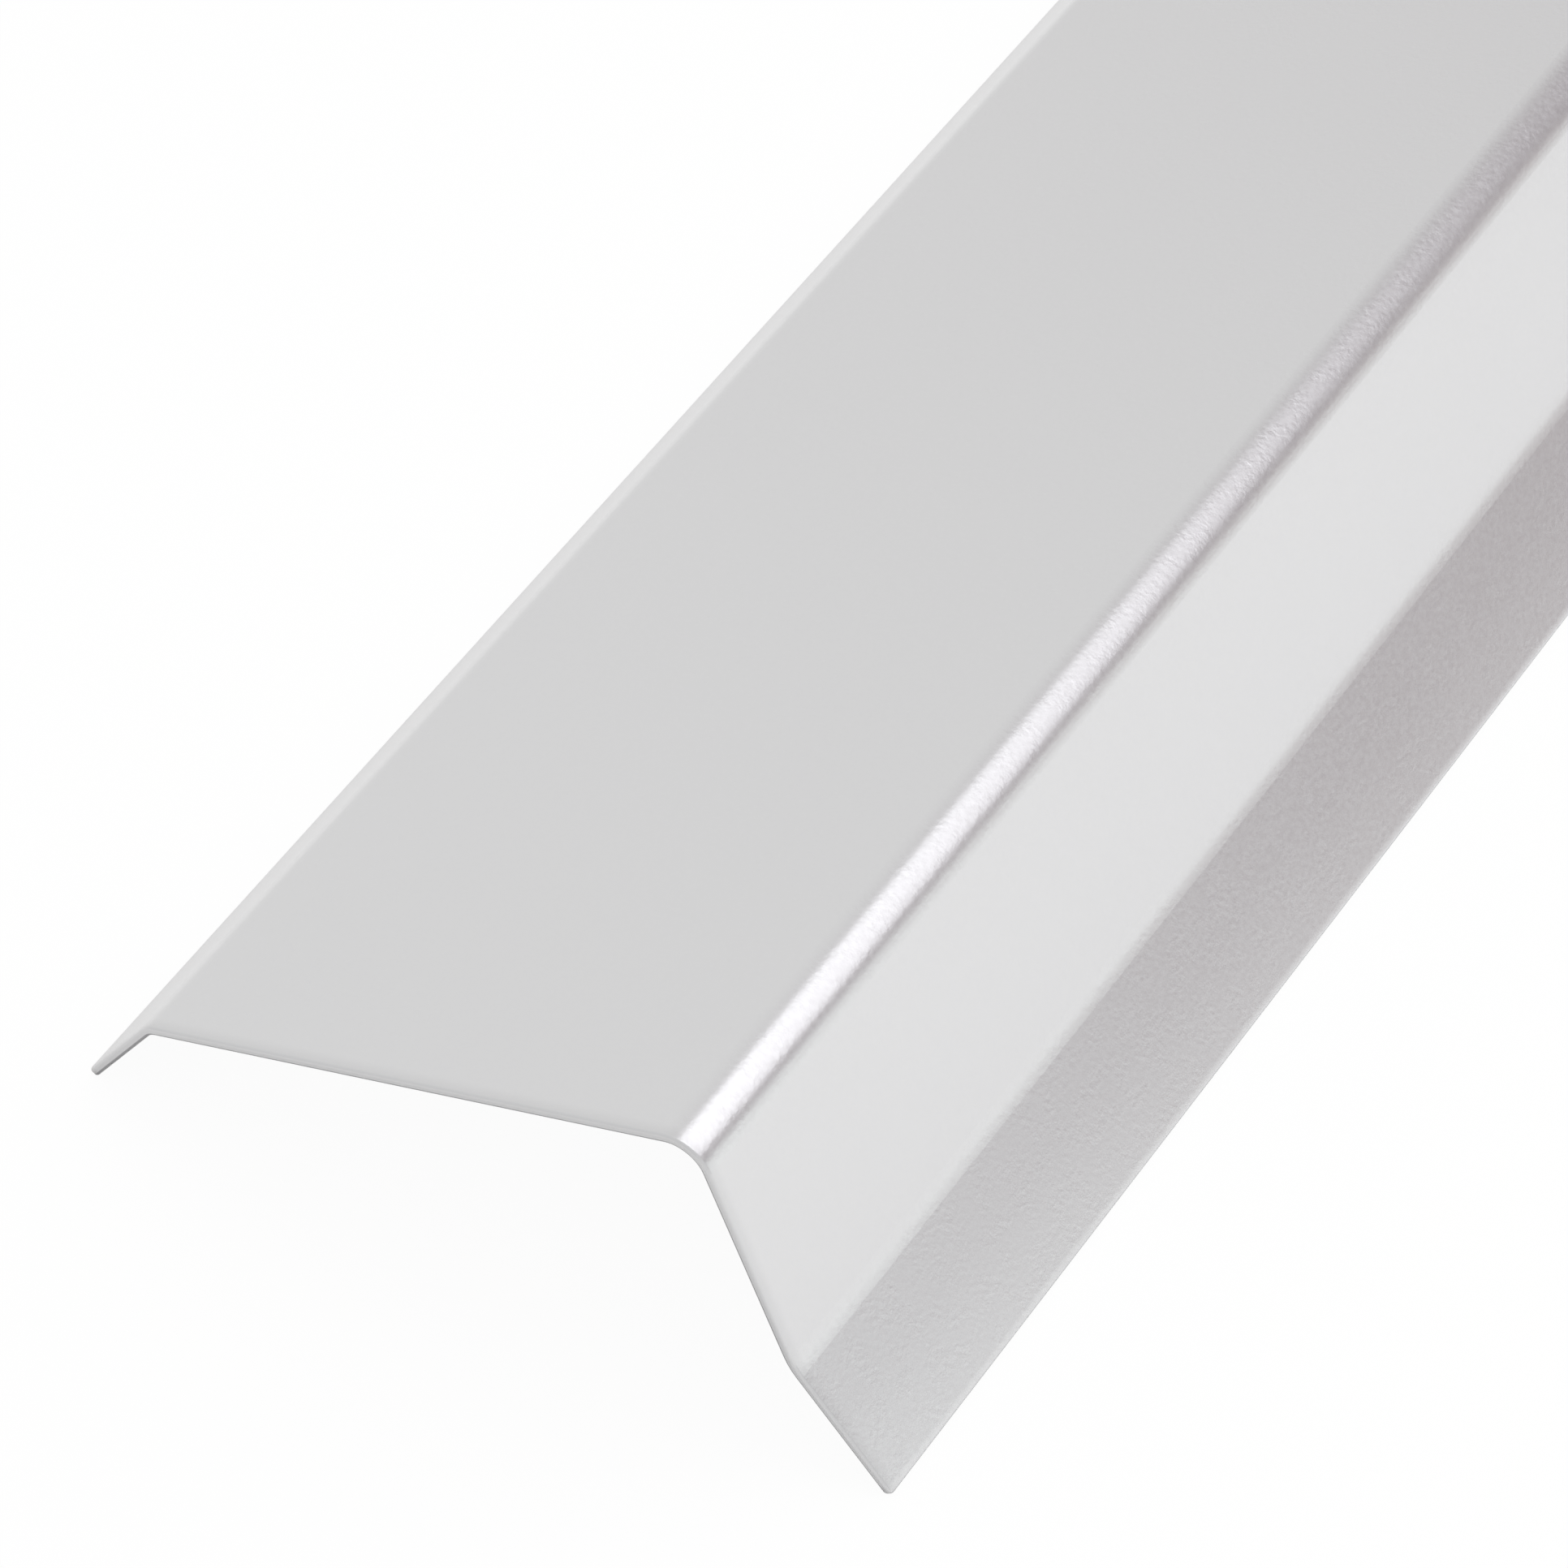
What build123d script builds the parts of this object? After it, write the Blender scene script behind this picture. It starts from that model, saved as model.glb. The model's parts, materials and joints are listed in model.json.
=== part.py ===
from build123d import *
from math import atan2, degrees
import os

# Roof edge trim: one strip of aluminium sheet, bent along its length.
# The strip runs along Y. Across it, from the back at -X to the front at +X, come the back lip,
# the roof flange, the rounded nose, the fascia and the drip, which kicks out at the bottom.
# It stands unheld on its two free edges, which touch z = 0, and the origin is the middle of its base.

# Driving dimensions, in millimetres: the widths are on the weather face, to the sharp corners
trim_length = 2000
sheet_thickness = 1.5
lip_width = 20.5
flange_width = 100
fascia_height = 41.5
drip_width = 23.5

# Bends, in degrees that the sheet turns through
back_bend = 35
nose_bend = 90
kick_out = 20

# Radii: the nose on its weather face, the back bend and the kick-out on the inside of the bend
nose_radius = 6
back_bend_radius = 3
kick_out_radius = 10

# Eased edges: the sheet's four corners in plan, and the arrises round both of its faces
corner_radius = 0.8
arris_radius = 0.5

# Lengths that differ by less than this count as equal
length_tolerance = 0.0001

# Legs of the section, from the lip's free edge: width, and heading while the flange is level
lip_heading = back_bend
drip_heading = kick_out - nose_bend
legs = (
    (lip_width, lip_heading),
    (flange_width, 0),
    (fascia_height, -nose_bend),
    (drip_width, drip_heading),
)


def weather_corners(tilt):
    """Sharp corners of the weather face, from the lip's free edge to the drip's."""
    corners = [Vector(0, 0)]
    for width, heading in legs:
        corners.append(corners[-1] + Vector(width, 0).rotate(Axis.Z, heading + tilt))
    return corners


def arris_centre(corner, heading, inward, depth):
    """Centre of the arris on a free edge, at a depth below the weather face."""
    return corner + Vector(inward * arris_radius, -depth).rotate(Axis.Z, heading)


def is_across_sheet(edge):
    """Whether an edge is one of the short straight ones that cross the sheet's thickness."""
    return edge.geom_type == GeomType.LINE and abs(edge.length - sheet_thickness) < length_tolerance


# Tilt of the flange at which both underside arrises touch the ground
weather_depth = arris_radius
underside_depth = sheet_thickness - arris_radius
level = weather_corners(0)
lip_foot = arris_centre(level[0], lip_heading, 1, underside_depth)
drip_foot = arris_centre(level[-1], drip_heading, -1, underside_depth)
stride = drip_foot - lip_foot
flange_tilt = -degrees(atan2(stride.Y, stride.X))

# Plane of the section, set so that the trim's base is centred on the origin
standing = weather_corners(flange_tilt)
ground = arris_centre(standing[0], lip_heading + flange_tilt, 1, underside_depth).Y - arris_radius
back = arris_centre(standing[0], lip_heading + flange_tilt, 1, weather_depth).X - arris_radius
front = arris_centre(standing[-1], drip_heading + flange_tilt, -1, weather_depth).X + arris_radius
section_plane = Plane(origin=(-(back + front) / 2, 0, -ground), x_dir=(1, 0, 0), z_dir=(0, -1, 0))

with BuildPart() as roof_edge_trim:
    # Section: the weather face's line with its bends, given the sheet's thickness towards the roof
    with BuildSketch(section_plane):
        with BuildLine():
            FilletPolyline(
                *standing,
                radius=(back_bend_radius + sheet_thickness, nose_radius, kick_out_radius),
            )
            offset(amount=sheet_thickness, side=Side.RIGHT)
        make_face()
    extrude(amount=trim_length / 2, both=True)

    # Corners of the sheet in plan: the short upright edges at the ends of the two free edges
    fillet(roof_edge_trim.edges().filter_by(is_across_sheet), radius=corner_radius)

    # Arrises: every sharp edge, so neither the seams of the bends nor the edges across the sheet
    arrises = roof_edge_trim.edges().filter_by(
        lambda edge: edge.length < trim_length - corner_radius and not is_across_sheet(edge)
    )
    fillet(arrises, radius=arris_radius)

roof_edge_trim.part.label = "roof_edge_trim"
os.makedirs("parts", exist_ok=True)
export_step(roof_edge_trim.part, "parts/roof_edge_trim.step")
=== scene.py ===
import json
import math

import bpy
from bpy.props import FloatProperty, FloatVectorProperty, PointerProperty
from mathutils import Matrix, Vector


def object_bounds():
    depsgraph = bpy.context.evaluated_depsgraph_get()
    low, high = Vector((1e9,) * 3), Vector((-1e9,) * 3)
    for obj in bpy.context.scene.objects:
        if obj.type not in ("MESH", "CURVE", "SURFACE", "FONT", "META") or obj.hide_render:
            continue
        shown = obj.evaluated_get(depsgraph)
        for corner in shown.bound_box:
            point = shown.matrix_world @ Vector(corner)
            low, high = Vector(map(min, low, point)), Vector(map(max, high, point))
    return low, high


bl_info = {
    "name": "Roof Edge Trim",
    "version": (1, 0, 0),
    "blender": (4, 5, 0),
    "location": "3D View > Sidebar > Roof Trim",
    "description": "Gives a bent roof edge trim its satin aluminium finish and a pale studio",
    "category": "Object",
}

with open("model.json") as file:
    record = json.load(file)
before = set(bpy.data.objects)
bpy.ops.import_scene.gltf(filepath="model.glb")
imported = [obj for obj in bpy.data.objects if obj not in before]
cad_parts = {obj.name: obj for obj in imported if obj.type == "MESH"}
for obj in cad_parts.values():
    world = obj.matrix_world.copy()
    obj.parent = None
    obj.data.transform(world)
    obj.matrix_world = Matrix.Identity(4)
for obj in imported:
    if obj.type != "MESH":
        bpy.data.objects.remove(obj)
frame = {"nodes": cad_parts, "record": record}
CAD_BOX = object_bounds()
TRIM = frame["nodes"]["roof_edge_trim"]
SLOT_COLOR = frame["record"]["materials"][0]["base_color"]

# A millimetre, in metres
MM = 0.001

# Colours
WHITE = (1.0, 1.0, 1.0)
BLACK = (0.0, 0.0, 0.0)

# Places of a Mix node's sockets for numbers and for colours, which have the same names
MIX_NUMBERS = slice(2, 4)
MIX_COLORS = slice(6, 8)
MIX_COLOR_RESULT = 2

# Orange peel: widths of the coarse ripples and of the patches, and the coarse ripples' steepness, each
# as a multiple of the fine ripples' own
COARSE_WIDTH = 2.4
PATCH_WIDTH = 10.0
COARSE_STEEPNESS = 0.6

# Patches of the orange peel: the noise values between which they turn from smoother to rougher, and the
# ripples' strength in the smoothest and in the roughest
PATCH_NOISE = (0.35, 0.65)
PATCH_STRENGTH = (0.6, 1.4)

# Noise: octaves added to the first one in the fine ripples, and in the haze and the grain, and the
# middle of its values
PEEL_DETAIL = 1.0
GLOSS_DETAIL = 2.0
NOISE_MIDDLE = 0.5

# Haze and grain: the noise values between which the finish turns from glossier to duller
GLOSS_NOISE = (0.3, 0.7)

# Relief: the power by which a bow, a curl or an easing deepens along its way
FALL_POWER = 2.0

# Cut edges: parts of a unit normal between which the satin face turns into the cut one, and the cut one
# into the painted shade along its underside
END_FACING = (0.55, 0.85)
FOOT_FACING = (-0.60, -0.40)
UNDERSIDE_FACING = (0.01, 0.12)

# Nose: parts of a unit normal between which its easing comes in towards the front, and the height above
# the easing's start at which it stops growing, as a multiple of its rise
FRONT_FACING = (-0.30, 0.60)
EASE_END = 1.4

# Studio walls: the direction of the dim ones, and the parts of a unit direction between which the bright
# wall turns into them, the near wall into the far ones, the horizon's light into the walls, and the dim
# walls' foot into their top
FAR_RIGHT = Vector((0.5, 0.85, 0.0)).normalized()
FAR_RIGHT_TURN = (0.10, 0.60)
NEAR_TURN = (-0.3, 0.3)
HORIZON_TURN = (0.0, 0.08)
DIM_WALL_RISE = (0.0, 0.35)

# Floor: corners of its rim
FLOOR_SIDES = 96

# Camera: its sensor's width, and the nearest and the farthest distance that it sees, in metres
SENSOR_WIDTH_MM = 36.0
NEAREST_SEEN = 0.01
FARTHEST_SEEN = 200.0


# Sizes and colours that a user would change

class TrimFinishSettings(bpy.types.PropertyGroup):
    """Satin finish of the sheet, the bare metal of its cut edges, and the painted shade inside its cut
    ends and along their underside
    """

    metal_color: FloatVectorProperty(
        name="Metal Color",
        description="Colour of the satin aluminium",
        subtype="COLOR",
        size=3,
        min=0.0,
        max=1.0,
        default=SLOT_COLOR,
    )
    roughness: FloatProperty(
        name="Roughness",
        description="How far the satin finish spreads a reflection",
        subtype="FACTOR",
        min=0.0,
        max=1.0,
        default=0.32,
    )
    peel_width: FloatProperty(
        name="Peel Width",
        description="Width of the finest ripples of the orange peel",
        unit="LENGTH",
        min=0.1 * MM,
        default=0.34 * MM,
        precision=5,
    )
    peel_depth: FloatProperty(
        name="Peel Depth",
        description="Depth of the orange peel's ripples",
        unit="LENGTH",
        min=0.0,
        default=0.029 * MM,
        precision=6,
    )
    curl_height: FloatProperty(
        name="Curl Height",
        description="How high above the floor the curl along a free edge reaches",
        unit="LENGTH",
        min=0.1 * MM,
        default=1.9 * MM,
        precision=5,
    )
    curl_depth: FloatProperty(
        name="Curl Depth",
        description="How far a free edge falls back in its curl",
        unit="LENGTH",
        min=0.0,
        default=0.38 * MM,
        precision=6,
    )
    bow_height: FloatProperty(
        name="Bow Height",
        description="How high above the floor the slight bow of the lip and the drip reaches",
        unit="LENGTH",
        min=0.1 * MM,
        default=11.0 * MM,
        precision=5,
    )
    bow_depth: FloatProperty(
        name="Bow Depth",
        description="How far a free edge falls back in its bow",
        unit="LENGTH",
        min=0.0,
        default=0.30 * MM,
        precision=6,
    )
    ease_start: FloatProperty(
        name="Ease Start",
        description="How high above the floor the fascia starts to ease into the nose",
        unit="LENGTH",
        min=0.0,
        default=48.4 * MM,
        precision=5,
    )
    ease_rise: FloatProperty(
        name="Ease Rise",
        description="How far the fascia rises until it meets the nose's arc",
        unit="LENGTH",
        min=0.1 * MM,
        default=2.5 * MM,
        precision=5,
    )
    ease_depth: FloatProperty(
        name="Ease Depth",
        description="How far the fascia has fallen back where it meets the nose's arc",
        unit="LENGTH",
        min=0.0,
        default=0.05 * MM,
        precision=6,
    )
    haze_width: FloatProperty(
        name="Haze Width",
        description="Width of the soft patches in which the finish is duller or glossier",
        unit="LENGTH",
        min=1.0 * MM,
        default=60.0 * MM,
    )
    haze_depth: FloatProperty(
        name="Haze Depth",
        description="Most that the haze adds to the roughness or takes from it",
        subtype="FACTOR",
        min=0.0,
        max=0.1,
        default=0.010,
    )
    grain_width: FloatProperty(
        name="Grain Width",
        description="Width of the fine specks in which the finish is duller or glossier",
        unit="LENGTH",
        min=0.1 * MM,
        default=0.8 * MM,
        precision=5,
    )
    grain_depth: FloatProperty(
        name="Grain Depth",
        description="Most that the grain adds to the roughness or takes from it",
        subtype="FACTOR",
        min=0.0,
        max=0.1,
        default=0.030,
    )
    cut_color: FloatVectorProperty(
        name="Cut Edge Color",
        description="Colour of the bare metal where the sheet was cut",
        subtype="COLOR",
        size=3,
        min=0.0,
        max=1.0,
        default=(0.69, 0.69, 0.70),
    )
    # Painted shade: the cut's underside is darkened in its colour, standing in for the shadowed floor
    # that it mirrors
    underside_shade_color: FloatVectorProperty(
        name="Underside Shade Color",
        description="Colour of the torn metal along the underside of a cut",
        subtype="COLOR",
        size=3,
        min=0.0,
        max=1.0,
        default=(0.41, 0.41, 0.42),
    )
    cut_roughness: FloatProperty(
        name="Cut Edge Roughness",
        description="Roughness of the bare metal where the sheet was cut",
        subtype="FACTOR",
        min=0.0,
        max=1.0,
        default=0.45,
    )
    foot_height: FloatProperty(
        name="Foot Height",
        description="How high above the floor the cut along a free edge reaches",
        unit="LENGTH",
        min=0.0,
        default=1.2 * MM,
        precision=5,
    )
    # Painted shade: the rim inside each cut end is darkened in its colour, standing in for the shading
    # where the sheared edge rolls over
    rim_width: FloatProperty(
        name="Rim Width",
        description="Width of the duller rim inside the cut ends",
        unit="LENGTH",
        min=0.1 * MM,
        default=2.5 * MM,
        precision=5,
    )
    rim_shade: FloatProperty(
        name="Rim Shade",
        description="How much darker the rim is at the cut",
        subtype="FACTOR",
        min=0.0,
        max=1.0,
        default=0.08,
    )


class TrimStageSettings(bpy.types.PropertyGroup):
    """Floor, light and camera of the studio"""

    floor_color: FloatVectorProperty(
        name="Floor Color",
        description="Colour of the pale floor",
        subtype="COLOR",
        size=3,
        min=0.0,
        max=1.0,
        default=(0.86, 0.86, 0.86),
    )
    floor_radius: FloatProperty(
        name="Floor Radius",
        description="Radius of the round floor",
        unit="LENGTH",
        min=1.0,
        default=30.0,
    )
    shadow_share: FloatProperty(
        name="Shadow Share",
        description="Share of the white floor's brightness that the trim's shadow can take away",
        subtype="FACTOR",
        min=0.0,
        max=1.0,
        default=0.05,
    )
    mirrored_shadow_share: FloatProperty(
        name="Mirrored Shadow Share",
        description="The same share where the metal mirrors the floor",
        subtype="FACTOR",
        min=0.0,
        max=1.0,
        default=1.0,
    )
    ambient: FloatVectorProperty(
        name="Ambient",
        description="Colour of the light that the room itself gives",
        subtype="COLOR",
        size=3,
        min=0.0,
        max=1.0,
        default=(0.803, 0.797, 0.786),
    )
    bright_wall: FloatVectorProperty(
        name="Bright Wall",
        description="Colour of the studio's walls on the left, as the metal mirrors them",
        subtype="COLOR",
        size=3,
        min=0.0,
        max=1.0,
        default=(0.838, 0.838, 0.831),
    )
    dim_wall_foot: FloatVectorProperty(
        name="Dim Wall Foot",
        description="Colour of the foot of the studio's far right walls, as the metal mirrors them",
        subtype="COLOR",
        size=3,
        min=0.0,
        max=1.0,
        default=(0.615, 0.565, 0.560),
    )
    dim_wall_top: FloatVectorProperty(
        name="Dim Wall Top",
        description="Colour of the top of the studio's far right walls, as the metal mirrors them",
        subtype="COLOR",
        size=3,
        min=0.0,
        max=1.0,
        default=(0.43, 0.395, 0.405),
    )
    near_wall: FloatVectorProperty(
        name="Near Wall",
        description="Colour of the studio's near wall, as the metal mirrors it",
        subtype="COLOR",
        size=3,
        min=0.0,
        max=1.0,
        default=(0.77, 0.77, 0.77),
    )
    key_place: FloatVectorProperty(
        name="Key Place",
        description="Centre of the overhead softbox",
        subtype="TRANSLATION",
        unit="LENGTH",
        size=3,
        default=(0.244, -0.697, 0.662),
    )
    key_target: FloatVectorProperty(
        name="Key Target",
        description="Point that the overhead softbox faces",
        subtype="TRANSLATION",
        unit="LENGTH",
        size=3,
        default=(0.040, -1.169, 0.056),
    )
    key_width: FloatProperty(
        name="Key Width",
        description="Size of the overhead softbox across the trim",
        unit="LENGTH",
        min=0.01,
        default=0.75,
    )
    key_length: FloatProperty(
        name="Key Length",
        description="Size of the overhead softbox along the trim",
        unit="LENGTH",
        min=0.01,
        default=0.53,
    )
    key_brightness: FloatProperty(
        name="Key Brightness",
        description="Brightness of the overhead softbox's face",
        min=0.0,
        default=1.02,
    )
    key_color: FloatVectorProperty(
        name="Key Color",
        description="Colour of the overhead softbox's light",
        subtype="COLOR",
        size=3,
        min=0.0,
        max=1.0,
        default=(0.95, 0.965, 0.988),
    )
    side_place: FloatVectorProperty(
        name="Side Place",
        description="Centre of the low softbox on the drip's side",
        subtype="TRANSLATION",
        unit="LENGTH",
        size=3,
        default=(1.034, -0.646, 0.200),
    )
    side_target: FloatVectorProperty(
        name="Side Target",
        description="Point that the low softbox faces",
        subtype="TRANSLATION",
        unit="LENGTH",
        size=3,
        default=(0.231, -1.225, 0.040),
    )
    side_width: FloatProperty(
        name="Side Width",
        description="Height of the low softbox",
        unit="LENGTH",
        min=0.01,
        default=0.36,
    )
    side_length: FloatProperty(
        name="Side Length",
        description="Size of the low softbox along the trim",
        unit="LENGTH",
        min=0.01,
        default=0.60,
    )
    side_brightness: FloatProperty(
        name="Side Brightness",
        description="Brightness of the low softbox's face",
        min=0.0,
        default=0.45,
    )
    side_color: FloatVectorProperty(
        name="Side Color",
        description="Colour of the low softbox's light",
        subtype="COLOR",
        size=3,
        min=0.0,
        max=1.0,
        default=(0.87, 1.0, 0.98),
    )
    lens: FloatProperty(
        name="Lens",
        description="Focal length of the camera, in millimetres on a 36 mm sensor",
        min=1.0,
        default=159.80,
    )
    azimuth: FloatProperty(
        name="Azimuth",
        description="Angle of the camera round the trim, from the view along its length",
        subtype="ANGLE",
        default=math.radians(31.977),
    )
    elevation: FloatProperty(
        name="Elevation",
        description="Angle of the camera above the horizon",
        subtype="ANGLE",
        default=math.radians(49.156),
    )
    roll: FloatProperty(
        name="Roll",
        description="Turn of the camera about its own axis",
        subtype="ANGLE",
        default=math.radians(0.879),
    )
    eye: FloatVectorProperty(
        name="Eye",
        description="Place of the camera",
        subtype="TRANSLATION",
        unit="LENGTH",
        size=3,
        default=(0.34238, -1.47072, 0.77833),
    )


# Helpers for shader nodes

def new_node(tree, kind, **settings):
    """A node of that kind, with the given attributes."""
    node = tree.nodes.new(kind)
    for name, value in settings.items():
        setattr(node, name, value)
    return node


def set_input(tree, socket, value):
    """Links an input socket to another socket, or gives it a value."""
    if isinstance(value, bpy.types.NodeSocket):
        tree.links.new(value, socket)
    else:
        socket.default_value = value


def feed(tree, node, **inputs):
    """Sets or links a node's inputs by name, with _ for a space."""
    for name, value in inputs.items():
        set_input(tree, node.inputs[name.replace("_", " ")], value)
    return node


def math_node(tree, operation, first, second=None):
    """The output of a Math node on one or two values, each a number or a socket."""
    node = new_node(tree, "ShaderNodeMath", operation=operation)
    for socket, value in zip(node.inputs, (first, second)):
        if value is not None:
            set_input(tree, socket, value)
    return node.outputs["Value"]


def ramp_node(tree, value, low, high, to_low=0.0, to_high=1.0):
    """The output of a smooth ramp that turns low..high, numbers or sockets, into to_low..to_high."""
    node = new_node(tree, "ShaderNodeMapRange", interpolation_type="SMOOTHSTEP")
    feed(tree, node, Value=value, From_Min=low, From_Max=high, To_Min=to_low, To_Max=to_high)
    return node.outputs["Result"]


def mix_node(tree, factor, first, second):
    """The output of a Mix node between two values, each a number or a socket."""
    node = new_node(tree, "ShaderNodeMix", data_type="FLOAT")
    feed(tree, node, Factor=factor)
    for socket, value in zip(node.inputs[MIX_NUMBERS], (first, second)):
        set_input(tree, socket, value)
    return node.outputs["Result"]


def mix_color_node(tree, factor, first, second):
    """The output of a Mix node between two colours, each three numbers or a socket."""
    node = new_node(tree, "ShaderNodeMix", data_type="RGBA")
    feed(tree, node, Factor=factor)
    for socket, value in zip(node.inputs[MIX_COLORS], (first, second)):
        if isinstance(value, bpy.types.NodeSocket):
            tree.links.new(value, socket)
        else:
            socket.default_value = (*value, 1.0)
    return node.outputs[MIX_COLOR_RESULT]


def noise_node(tree, position, width, detail=0.0):
    """The output of 3-D noise with waves about as wide as a width in metres, a number or a socket."""
    node = new_node(tree, "ShaderNodeTexNoise", noise_dimensions="3D")
    feed(tree, node, Vector=position, Scale=math_node(tree, "DIVIDE", 1.0, width), Detail=detail)
    return node.outputs["Fac"]


def split_node(tree, vector):
    """The X, Y and Z outputs of a node that splits a vector."""
    return feed(tree, new_node(tree, "ShaderNodeSeparateXYZ"), Vector=vector).outputs


def dot_node(tree, first, second):
    """The output of a Vector Math node that multiplies two vectors into a number."""
    node = new_node(tree, "ShaderNodeVectorMath", operation="DOT_PRODUCT")
    for socket, value in zip(node.inputs, (first, second)):
        set_input(tree, socket, value)
    return node.outputs["Value"]


def mirrored_ray(tree, path):
    """Whether a ray comes off a glossy surface or through a clear one, from a Light Path's outputs."""
    return math_node(tree, "MAXIMUM", path["Is Glossy Ray"], path["Is Transmission Ray"])


def new_group(name, inputs, outputs):
    """An empty shader node group with named sockets, its tree and its input and output nodes."""
    tree = bpy.data.node_groups.new(name, "ShaderNodeTree")
    for socket_name, socket_type in inputs:
        tree.interface.new_socket(socket_name, in_out="INPUT", socket_type=socket_type)
    for socket_name, socket_type in outputs:
        tree.interface.new_socket(socket_name, in_out="OUTPUT", socket_type=socket_type)
    return tree, tree.nodes.new("NodeGroupInput"), tree.nodes.new("NodeGroupOutput")


def place_group(tree, group):
    """A node that places a group in a tree."""
    node = tree.nodes.new("ShaderNodeGroup")
    node.node_tree = group
    return node


# Finish of the sheet

def peel_group():
    """Orange peel: fine ripples on coarse ones, stronger in some patches, as a height about 0.5."""
    tree, entry, result = new_group(
        "orange_peel",
        [("Position", "NodeSocketVector"), ("Width", "NodeSocketFloat")],
        [("Height", "NodeSocketFloat")],
    )
    position = entry.outputs["Position"]
    width = entry.outputs["Width"]
    fine = noise_node(tree, position, width, PEEL_DETAIL)
    coarse = noise_node(tree, position, math_node(tree, "MULTIPLY", width, COARSE_WIDTH))
    coarse_share = COARSE_WIDTH * COARSE_STEEPNESS
    total = math_node(tree, "ADD", fine, math_node(tree, "MULTIPLY", coarse, coarse_share))
    height = math_node(tree, "DIVIDE", total, 1.0 + coarse_share)
    patch = noise_node(tree, position, math_node(tree, "MULTIPLY", width, PATCH_WIDTH))
    strength = ramp_node(tree, patch, *PATCH_NOISE, *PATCH_STRENGTH)
    swing = math_node(tree, "MULTIPLY", math_node(tree, "SUBTRACT", height, NOISE_MIDDLE), strength)
    feed(tree, result, Height=math_node(tree, "ADD", swing, NOISE_MIDDLE))
    return tree


def fall_node(tree, height, reach, depth):
    """How far a face falls back at a height: not at all above the reach, and the depth on the floor."""
    share = math_node(tree, "DIVIDE", height, reach)
    below = math_node(tree, "MAXIMUM", math_node(tree, "SUBTRACT", 1.0, share), 0.0)
    return math_node(tree, "MULTIPLY", math_node(tree, "POWER", below, FALL_POWER), depth)


def curl_group():
    """Relief of the legs with a free edge, in metres: a slight bow, and a curl along the edge itself."""
    tree, entry, result = new_group(
        "free_edge_curl",
        [
            ("Position", "NodeSocketVector"),
            ("Curl Height", "NodeSocketFloat"),
            ("Curl Depth", "NodeSocketFloat"),
            ("Bow Height", "NodeSocketFloat"),
            ("Bow Depth", "NodeSocketFloat"),
        ],
        [("Height", "NodeSocketFloat")],
    )
    place = split_node(tree, entry.outputs["Position"])
    curl = fall_node(tree, place["Z"], entry.outputs["Curl Height"], entry.outputs["Curl Depth"])
    bow = fall_node(tree, place["Z"], entry.outputs["Bow Height"], entry.outputs["Bow Depth"])
    fall = math_node(tree, "ADD", curl, bow)
    feed(tree, result, Height=math_node(tree, "MULTIPLY", fall, -1.0))
    return tree


def nose_ease_group():
    """Relief of the front just under the nose, in metres, where the flat fascia eases into the bend."""
    tree, entry, result = new_group(
        "nose_ease",
        [
            ("Position", "NodeSocketVector"),
            ("Normal", "NodeSocketVector"),
            ("Start", "NodeSocketFloat"),
            ("Rise", "NodeSocketFloat"),
            ("Depth", "NodeSocketFloat"),
        ],
        [("Height", "NodeSocketFloat")],
    )
    place = split_node(tree, entry.outputs["Position"])
    normal = split_node(tree, entry.outputs["Normal"])
    above = math_node(tree, "SUBTRACT", place["Z"], entry.outputs["Start"])
    rises = math_node(tree, "DIVIDE", above, entry.outputs["Rise"])
    share = math_node(tree, "MINIMUM", math_node(tree, "MAXIMUM", rises, 0.0), EASE_END)
    deepening = math_node(tree, "POWER", share, FALL_POWER)
    fall = math_node(tree, "MULTIPLY", deepening, entry.outputs["Depth"])
    front = ramp_node(tree, normal["X"], *FRONT_FACING, 0.0, -1.0)
    feed(tree, result, Height=math_node(tree, "MULTIPLY", fall, front))
    return tree


def cut_edge_group(half_length):
    """Masks of the cut edges: the cut metal, the painted shade along its underside, and the rim of
    painted shade inside the cut ends.
    """
    tree, entry, result = new_group(
        "cut_edge",
        [
            ("Position", "NodeSocketVector"),
            ("Normal", "NodeSocketVector"),
            ("Foot Height", "NodeSocketFloat"),
            ("Rim Width", "NodeSocketFloat"),
        ],
        [("Cut", "NodeSocketFloat"), ("Underside", "NodeSocketFloat"), ("Rim", "NodeSocketFloat")],
    )
    normal = split_node(tree, entry.outputs["Normal"])
    place = split_node(tree, entry.outputs["Position"])

    end_mask = ramp_node(tree, math_node(tree, "ABSOLUTE", normal["Y"]), *END_FACING)
    downward = ramp_node(tree, normal["Z"], *FOOT_FACING, 1.0, 0.0)
    outward = math_node(tree, "GREATER_THAN", math_node(tree, "MULTIPLY", normal["X"], place["X"]), 0.0)
    at_foot = math_node(tree, "LESS_THAN", place["Z"], entry.outputs["Foot Height"])
    foot_mask = math_node(tree, "MULTIPLY", math_node(tree, "MULTIPLY", downward, outward), at_foot)
    feed(tree, result, Cut=math_node(tree, "MAXIMUM", end_mask, foot_mask))

    across = feed(tree, new_node(tree, "ShaderNodeCombineXYZ"), X=place["X"], Z=place["Z"])
    outwards = new_node(tree, "ShaderNodeVectorMath", operation="NORMALIZE")
    feed(tree, outwards, Vector=across.outputs["Vector"])
    facing = dot_node(tree, outwards.outputs["Vector"], entry.outputs["Normal"])
    inward = math_node(tree, "MULTIPLY", facing, -1.0)
    feed(tree, result, Underside=ramp_node(tree, inward, *UNDERSIDE_FACING))

    to_end = math_node(tree, "SUBTRACT", half_length, math_node(tree, "ABSOLUTE", place["Y"]))
    feed(tree, result, Rim=ramp_node(tree, to_end, 0.0, entry.outputs["Rim Width"], 1.0, 0.0))
    return tree


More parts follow.
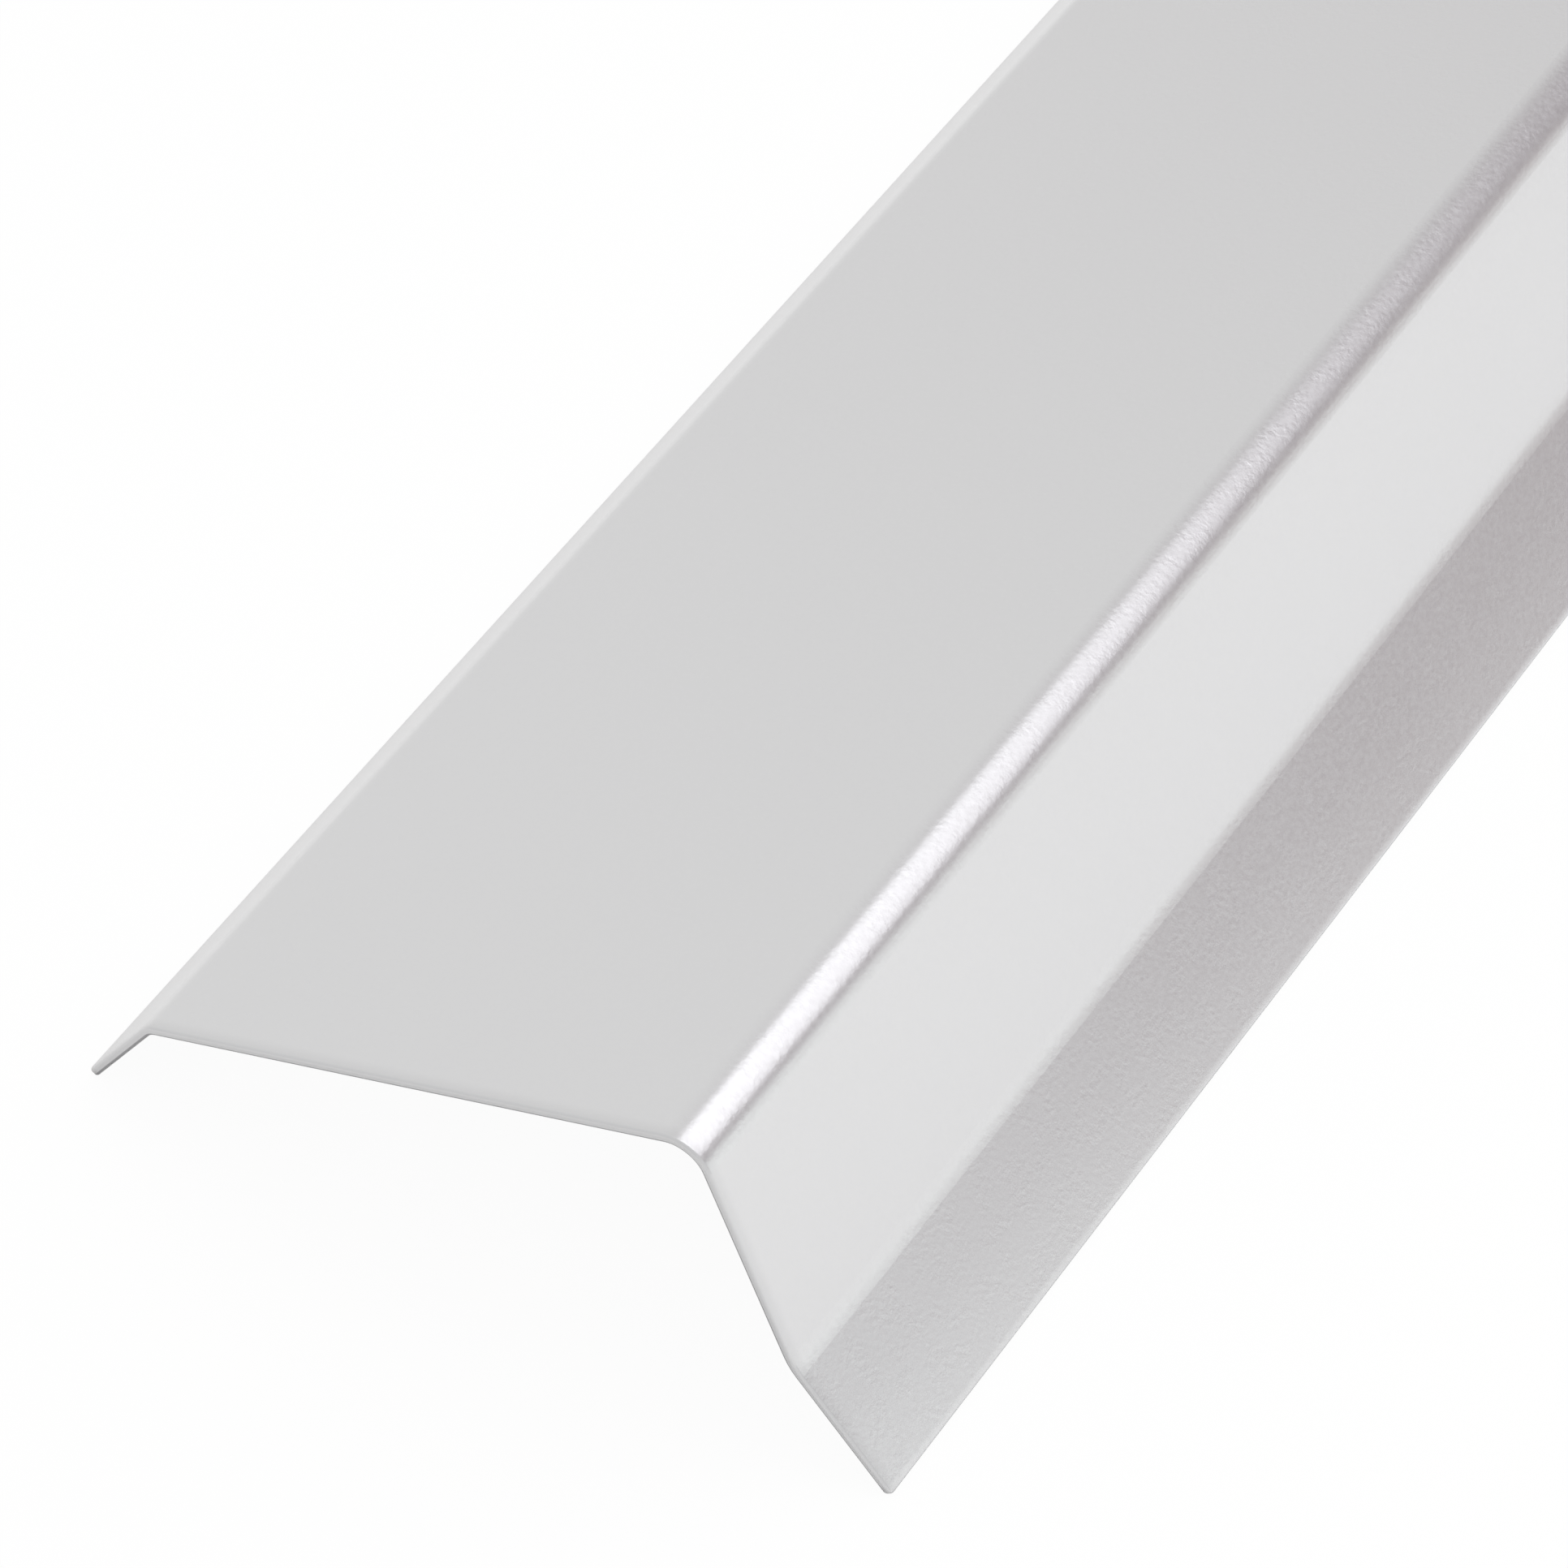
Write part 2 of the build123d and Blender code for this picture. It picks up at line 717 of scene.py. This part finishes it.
def satin_aluminium(settings):
    """Satin aluminium with a fine orange peel, soft haze and grain, and bare cut edges, with painted
    shade in the rim inside the cut ends and along the cuts' underside.
    """
    material = bpy.data.materials.new("satin_aluminium")
    material.use_nodes = True
    tree = material.node_tree
    shader = tree.nodes["Principled BSDF"]
    coordinates = new_node(tree, "ShaderNodeTexCoord").outputs

    peel = place_group(tree, peel_group())
    feed(tree, peel, Position=coordinates["Object"], Width=settings.peel_width)
    cut = place_group(tree, cut_edge_group(CAD_BOX[1][1]))
    feed(tree, cut, Position=coordinates["Object"], Normal=coordinates["Normal"])
    feed(tree, cut, Foot_Height=settings.foot_height, Rim_Width=settings.rim_width)

    haze = noise_node(tree, coordinates["Object"], settings.haze_width, GLOSS_DETAIL)
    grain = noise_node(tree, coordinates["Object"], settings.grain_width, GLOSS_DETAIL)
    glossiest = settings.roughness - settings.haze_depth
    dullest = settings.roughness + settings.haze_depth
    hazy_roughness = ramp_node(tree, haze, *GLOSS_NOISE, glossiest, dullest)
    grain_swing = ramp_node(tree, grain, *GLOSS_NOISE, -settings.grain_depth, settings.grain_depth)
    satin_roughness = math_node(tree, "ADD", hazy_roughness, grain_swing)
    roughness = mix_node(tree, cut.outputs["Cut"], satin_roughness, settings.cut_roughness)

    # Painted shade darkens the metal's colour in the rim inside the cut ends
    shade = math_node(tree, "MULTIPLY", cut.outputs["Rim"], settings.rim_shade)
    satin_color = mix_color_node(tree, shade, settings.metal_color, BLACK)
    # Painted shade along the cut's underside, for the shadowed floor that it mirrors
    shadowed = cut.outputs["Underside"]
    cut_color = mix_color_node(tree, shadowed, settings.cut_color, settings.underside_shade_color)
    color = mix_color_node(tree, cut.outputs["Cut"], satin_color, cut_color)

    curl = place_group(tree, curl_group())
    feed(tree, curl, Position=coordinates["Object"])
    feed(tree, curl, Curl_Height=settings.curl_height, Curl_Depth=settings.curl_depth)
    feed(tree, curl, Bow_Height=settings.bow_height, Bow_Depth=settings.bow_depth)
    ease = place_group(tree, nose_ease_group())
    feed(tree, ease, Position=coordinates["Object"], Normal=coordinates["Normal"])
    feed(tree, ease, Start=settings.ease_start, Rise=settings.ease_rise, Depth=settings.ease_depth)
    peel_relief = math_node(tree, "MULTIPLY", peel.outputs["Height"], settings.peel_depth)
    leg_relief = math_node(tree, "ADD", curl.outputs["Height"], ease.outputs["Height"])
    relief = math_node(tree, "ADD", peel_relief, leg_relief)
    bump = new_node(tree, "ShaderNodeBump")
    feed(tree, bump, Strength=1.0, Distance=1.0, Height=relief)

    feed(tree, shader, Base_Color=color, Metallic=1.0, Roughness=roughness)
    feed(tree, shader, Normal=bump.outputs["Normal"])
    return material


# Stage

def floor_material(settings):
    """Pale floor that is seen white, and still takes a light shadow."""
    material = bpy.data.materials.new("pale_floor")
    material.use_nodes = True
    tree = material.node_tree
    tree.nodes.clear()
    path = new_node(tree, "ShaderNodeLightPath").outputs
    mirrored = mirrored_ray(tree, path)
    seen = math_node(tree, "MAXIMUM", path["Is Camera Ray"], mirrored)
    share = mix_node(tree, mirrored, settings.shadow_share, settings.mirrored_shadow_share)
    paint = new_node(tree, "ShaderNodeBsdfDiffuse")
    paint.inputs["Color"].default_value = (*settings.floor_color, 1.0)
    shaded = new_node(tree, "ShaderNodeBsdfDiffuse")
    tree.links.new(share, shaded.inputs["Color"])
    white = new_node(tree, "ShaderNodeEmission")
    tree.links.new(math_node(tree, "SUBTRACT", 1.0, share), white.inputs["Strength"])
    lit = new_node(tree, "ShaderNodeAddShader")
    tree.links.new(shaded.outputs[0], lit.inputs[0])
    tree.links.new(white.outputs[0], lit.inputs[1])
    mix = new_node(tree, "ShaderNodeMixShader")
    tree.links.new(seen, mix.inputs["Fac"])
    tree.links.new(paint.outputs[0], mix.inputs[1])
    tree.links.new(lit.outputs[0], mix.inputs[2])
    output = new_node(tree, "ShaderNodeOutputMaterial")
    tree.links.new(mix.outputs[0], output.inputs["Surface"])
    return material


def build_floor(settings):
    """Round floor that the trim stands on."""
    radius = settings.floor_radius
    turns = [math.tau * side / FLOOR_SIDES for side in range(FLOOR_SIDES)]
    rim = [(radius * math.cos(turn), radius * math.sin(turn), 0.0) for turn in turns]
    mesh = bpy.data.meshes.new("studio_floor")
    mesh.from_pydata(rim, [], [list(range(FLOOR_SIDES))])
    mesh.materials.append(floor_material(settings))
    floor = bpy.data.objects.new("studio_floor", mesh)
    bpy.context.collection.objects.link(floor)
    return floor


def build_world(settings):
    """Room light: white to the camera, and where the metal mirrors it, walls above a pale horizon."""
    world = bpy.data.worlds.new("studio_room")
    world.use_nodes = True
    tree = world.node_tree
    background = tree.nodes["Background"]
    path = new_node(tree, "ShaderNodeLightPath").outputs
    mirrored = mirrored_ray(tree, path)
    direction = new_node(tree, "ShaderNodeTexCoord").outputs["Generated"]
    parts = split_node(tree, direction)

    far_right = ramp_node(tree, dot_node(tree, direction, FAR_RIGHT), *FAR_RIGHT_TURN)
    near_side = ramp_node(tree, parts["Y"], *NEAR_TURN, 1.0, 0.0)
    rise = ramp_node(tree, parts["Z"], *DIM_WALL_RISE)
    dim_wall = mix_color_node(tree, rise, settings.dim_wall_foot, settings.dim_wall_top)
    far_walls = mix_color_node(tree, far_right, settings.bright_wall, dim_wall)
    walls = mix_color_node(tree, near_side, far_walls, settings.near_wall)
    above_horizon = ramp_node(tree, parts["Z"], *HORIZON_TURN)
    room = mix_color_node(tree, above_horizon, settings.ambient, walls)

    unseen = mix_color_node(tree, mirrored, settings.ambient, room)
    seen = mix_color_node(tree, path["Is Camera Ray"], unseen, WHITE)
    feed(tree, background, Color=seen)
    bpy.context.scene.world = world
    return world


def build_softbox(name, place, target, width, length, brightness, color):
    """Soft rectangular lamp that faces a target, with its width square to the trim's length."""
    lamp = bpy.data.lights.new(name, "AREA")
    lamp.shape = "RECTANGLE"
    lamp.size = width
    lamp.size_y = length
    lamp.energy = brightness * math.pi * width * length
    lamp.color = color
    backwards = (Vector(place) - Vector(target)).normalized()
    across = Vector((0.0, 1.0, 0.0)).cross(backwards).normalized()
    along = backwards.cross(across)
    pose = Matrix((across, along, backwards)).transposed().to_4x4()
    pose.translation = place
    softbox = bpy.data.objects.new(name, lamp)
    softbox.matrix_world = pose
    softbox.visible_camera = False
    bpy.context.collection.objects.link(softbox)
    return softbox


def build_camera(settings):
    """Camera that sees the trim as the photograph does."""
    azimuth = settings.azimuth
    elevation = settings.elevation
    forward = Vector((
        -math.sin(azimuth) * math.cos(elevation),
        math.cos(azimuth) * math.cos(elevation),
        -math.sin(elevation),
    ))
    level_right = Vector((math.cos(azimuth), math.sin(azimuth), 0.0))
    level_up = level_right.cross(forward)
    right = math.cos(settings.roll) * level_right + math.sin(settings.roll) * level_up
    up = math.cos(settings.roll) * level_up - math.sin(settings.roll) * level_right
    pose = Matrix((right, up, -forward)).transposed().to_4x4()
    pose.translation = settings.eye
    lens = bpy.data.cameras.new("photo_camera")
    lens.sensor_fit = "HORIZONTAL"
    lens.sensor_width = SENSOR_WIDTH_MM
    lens.lens = settings.lens
    lens.clip_start = NEAREST_SEEN
    lens.clip_end = FARTHEST_SEEN
    camera = bpy.data.objects.new("photo_camera", lens)
    camera.matrix_world = pose
    bpy.context.collection.objects.link(camera)
    bpy.context.scene.camera = camera
    return camera


# Operators

class TrimFinishOperator(bpy.types.Operator):
    """Give the bent sheet its satin aluminium finish"""

    bl_idname = "roof_trim.finish_sheet"
    bl_label = "Finish Sheet"

    def execute(self, context):
        material = satin_aluminium(context.scene.trim_finish)
        for slot in TRIM.material_slots:
            slot.material = material
        return {"FINISHED"}


class TrimStageOperator(bpy.types.Operator):
    """Build the floor, the light and the camera"""

    bl_idname = "roof_trim.build_stage"
    bl_label = "Build Stage"

    def execute(self, context):
        settings = context.scene.trim_stage
        build_floor(settings)
        build_world(settings)
        for name in ("key", "side"):
            place, target, width, length, brightness, color = (
                getattr(settings, f"{name}_{part}")
                for part in ("place", "target", "width", "length", "brightness", "color")
            )
            build_softbox(f"{name}_softbox", place, target, width, length, brightness, color)
        build_camera(settings)
        bpy.context.scene.view_settings.view_transform = "Standard"
        return {"FINISHED"}


class TrimPanel(bpy.types.Panel):
    """Steps that build the roof edge trim's scene"""

    bl_idname = "VIEW3D_PT_roof_trim"
    bl_label = "Roof Edge Trim"
    bl_space_type = "VIEW_3D"
    bl_region_type = "UI"
    bl_category = "Roof Trim"

    def draw(self, context):
        layout = self.layout
        for settings, operator in (
            (context.scene.trim_finish, TrimFinishOperator),
            (context.scene.trim_stage, TrimStageOperator),
        ):
            box = layout.box()
            for name in settings.bl_rna.properties.keys():
                if name not in {"rna_type", "name"}:
                    box.prop(settings, name)
            box.operator(operator.bl_idname)


CLASSES = (TrimFinishSettings, TrimStageSettings, TrimFinishOperator, TrimStageOperator, TrimPanel)


def register():
    """Adds the classes, and the settings to the scene."""
    for cls in CLASSES:
        bpy.utils.register_class(cls)
    bpy.types.Scene.trim_finish = PointerProperty(type=TrimFinishSettings)
    bpy.types.Scene.trim_stage = PointerProperty(type=TrimStageSettings)


def unregister():
    """Takes the settings and the classes away."""
    del bpy.types.Scene.trim_stage
    del bpy.types.Scene.trim_finish
    for cls in reversed(CLASSES):
        bpy.utils.unregister_class(cls)


def main():
    """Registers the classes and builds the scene."""
    register()
    bpy.ops.roof_trim.finish_sheet()
    bpy.ops.roof_trim.build_stage()


if __name__ == "__main__":
    main()
